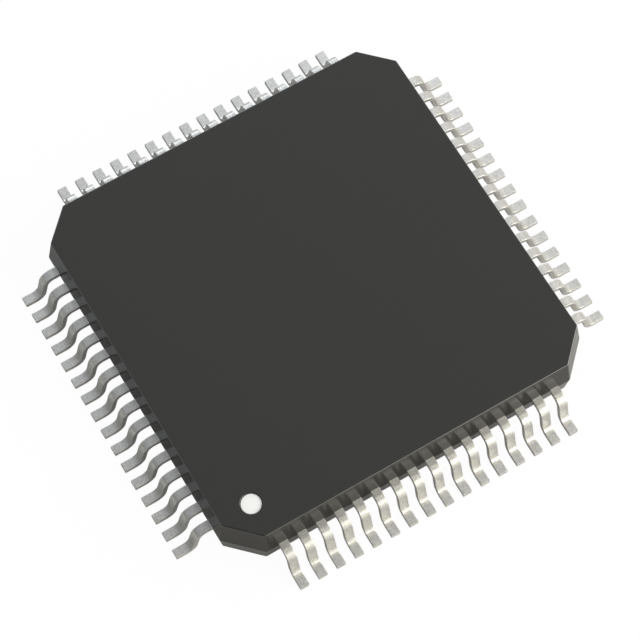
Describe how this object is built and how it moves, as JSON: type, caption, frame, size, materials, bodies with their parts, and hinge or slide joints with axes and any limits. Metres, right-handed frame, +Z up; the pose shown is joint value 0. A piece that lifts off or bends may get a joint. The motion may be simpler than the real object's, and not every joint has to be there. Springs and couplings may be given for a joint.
{
  "type": "quad flat pack chip",
  "caption": "Flat square moulded semiconductor package with cut corners, a row of gull-wing solder leads on each side and a white pin-one dot on top.",
  "frame": {"origin": "centre of the footprint, on the seating plane that the feet stand on", "axes": "+Z up, away from the board; -Y towards the front row, pins 1 to 16; +X towards the right row; the pin-one corner is at -X -Y"},
  "size_m": [0.012, 0.012, 0.0016],
  "materials": {
    "mould_compound": "fine matte epoxy moulding compound, a little glossier on the drafted sides",
    "white_ink": "flat opaque ink in a shallow dimple",
    "tin_plate": "matte tin plating with a fine grain, on copper alloy",
    "bare_copper": "satin stamped copper alloy",
    "silver_adhesive": "cured silver-filled epoxy",
    "silicon": "smooth silicon with a passivated face",
    "gold_wire": "bright drawn gold"
  },
  "bodies": {
    "root": {"mould_body": "mould_compound", "pin_one_dot": "white_ink", "front_leads": "tin_plate", "right_leads": "tin_plate", "back_leads": "tin_plate", "left_leads": "tin_plate", "die_paddle": "bare_copper", "die_attach": "silver_adhesive", "silicon_die": "silicon", "front_wires": "gold_wire", "right_wires": "gold_wire", "back_wires": "gold_wire", "left_wires": "gold_wire"}
  },
  "joints": []
}
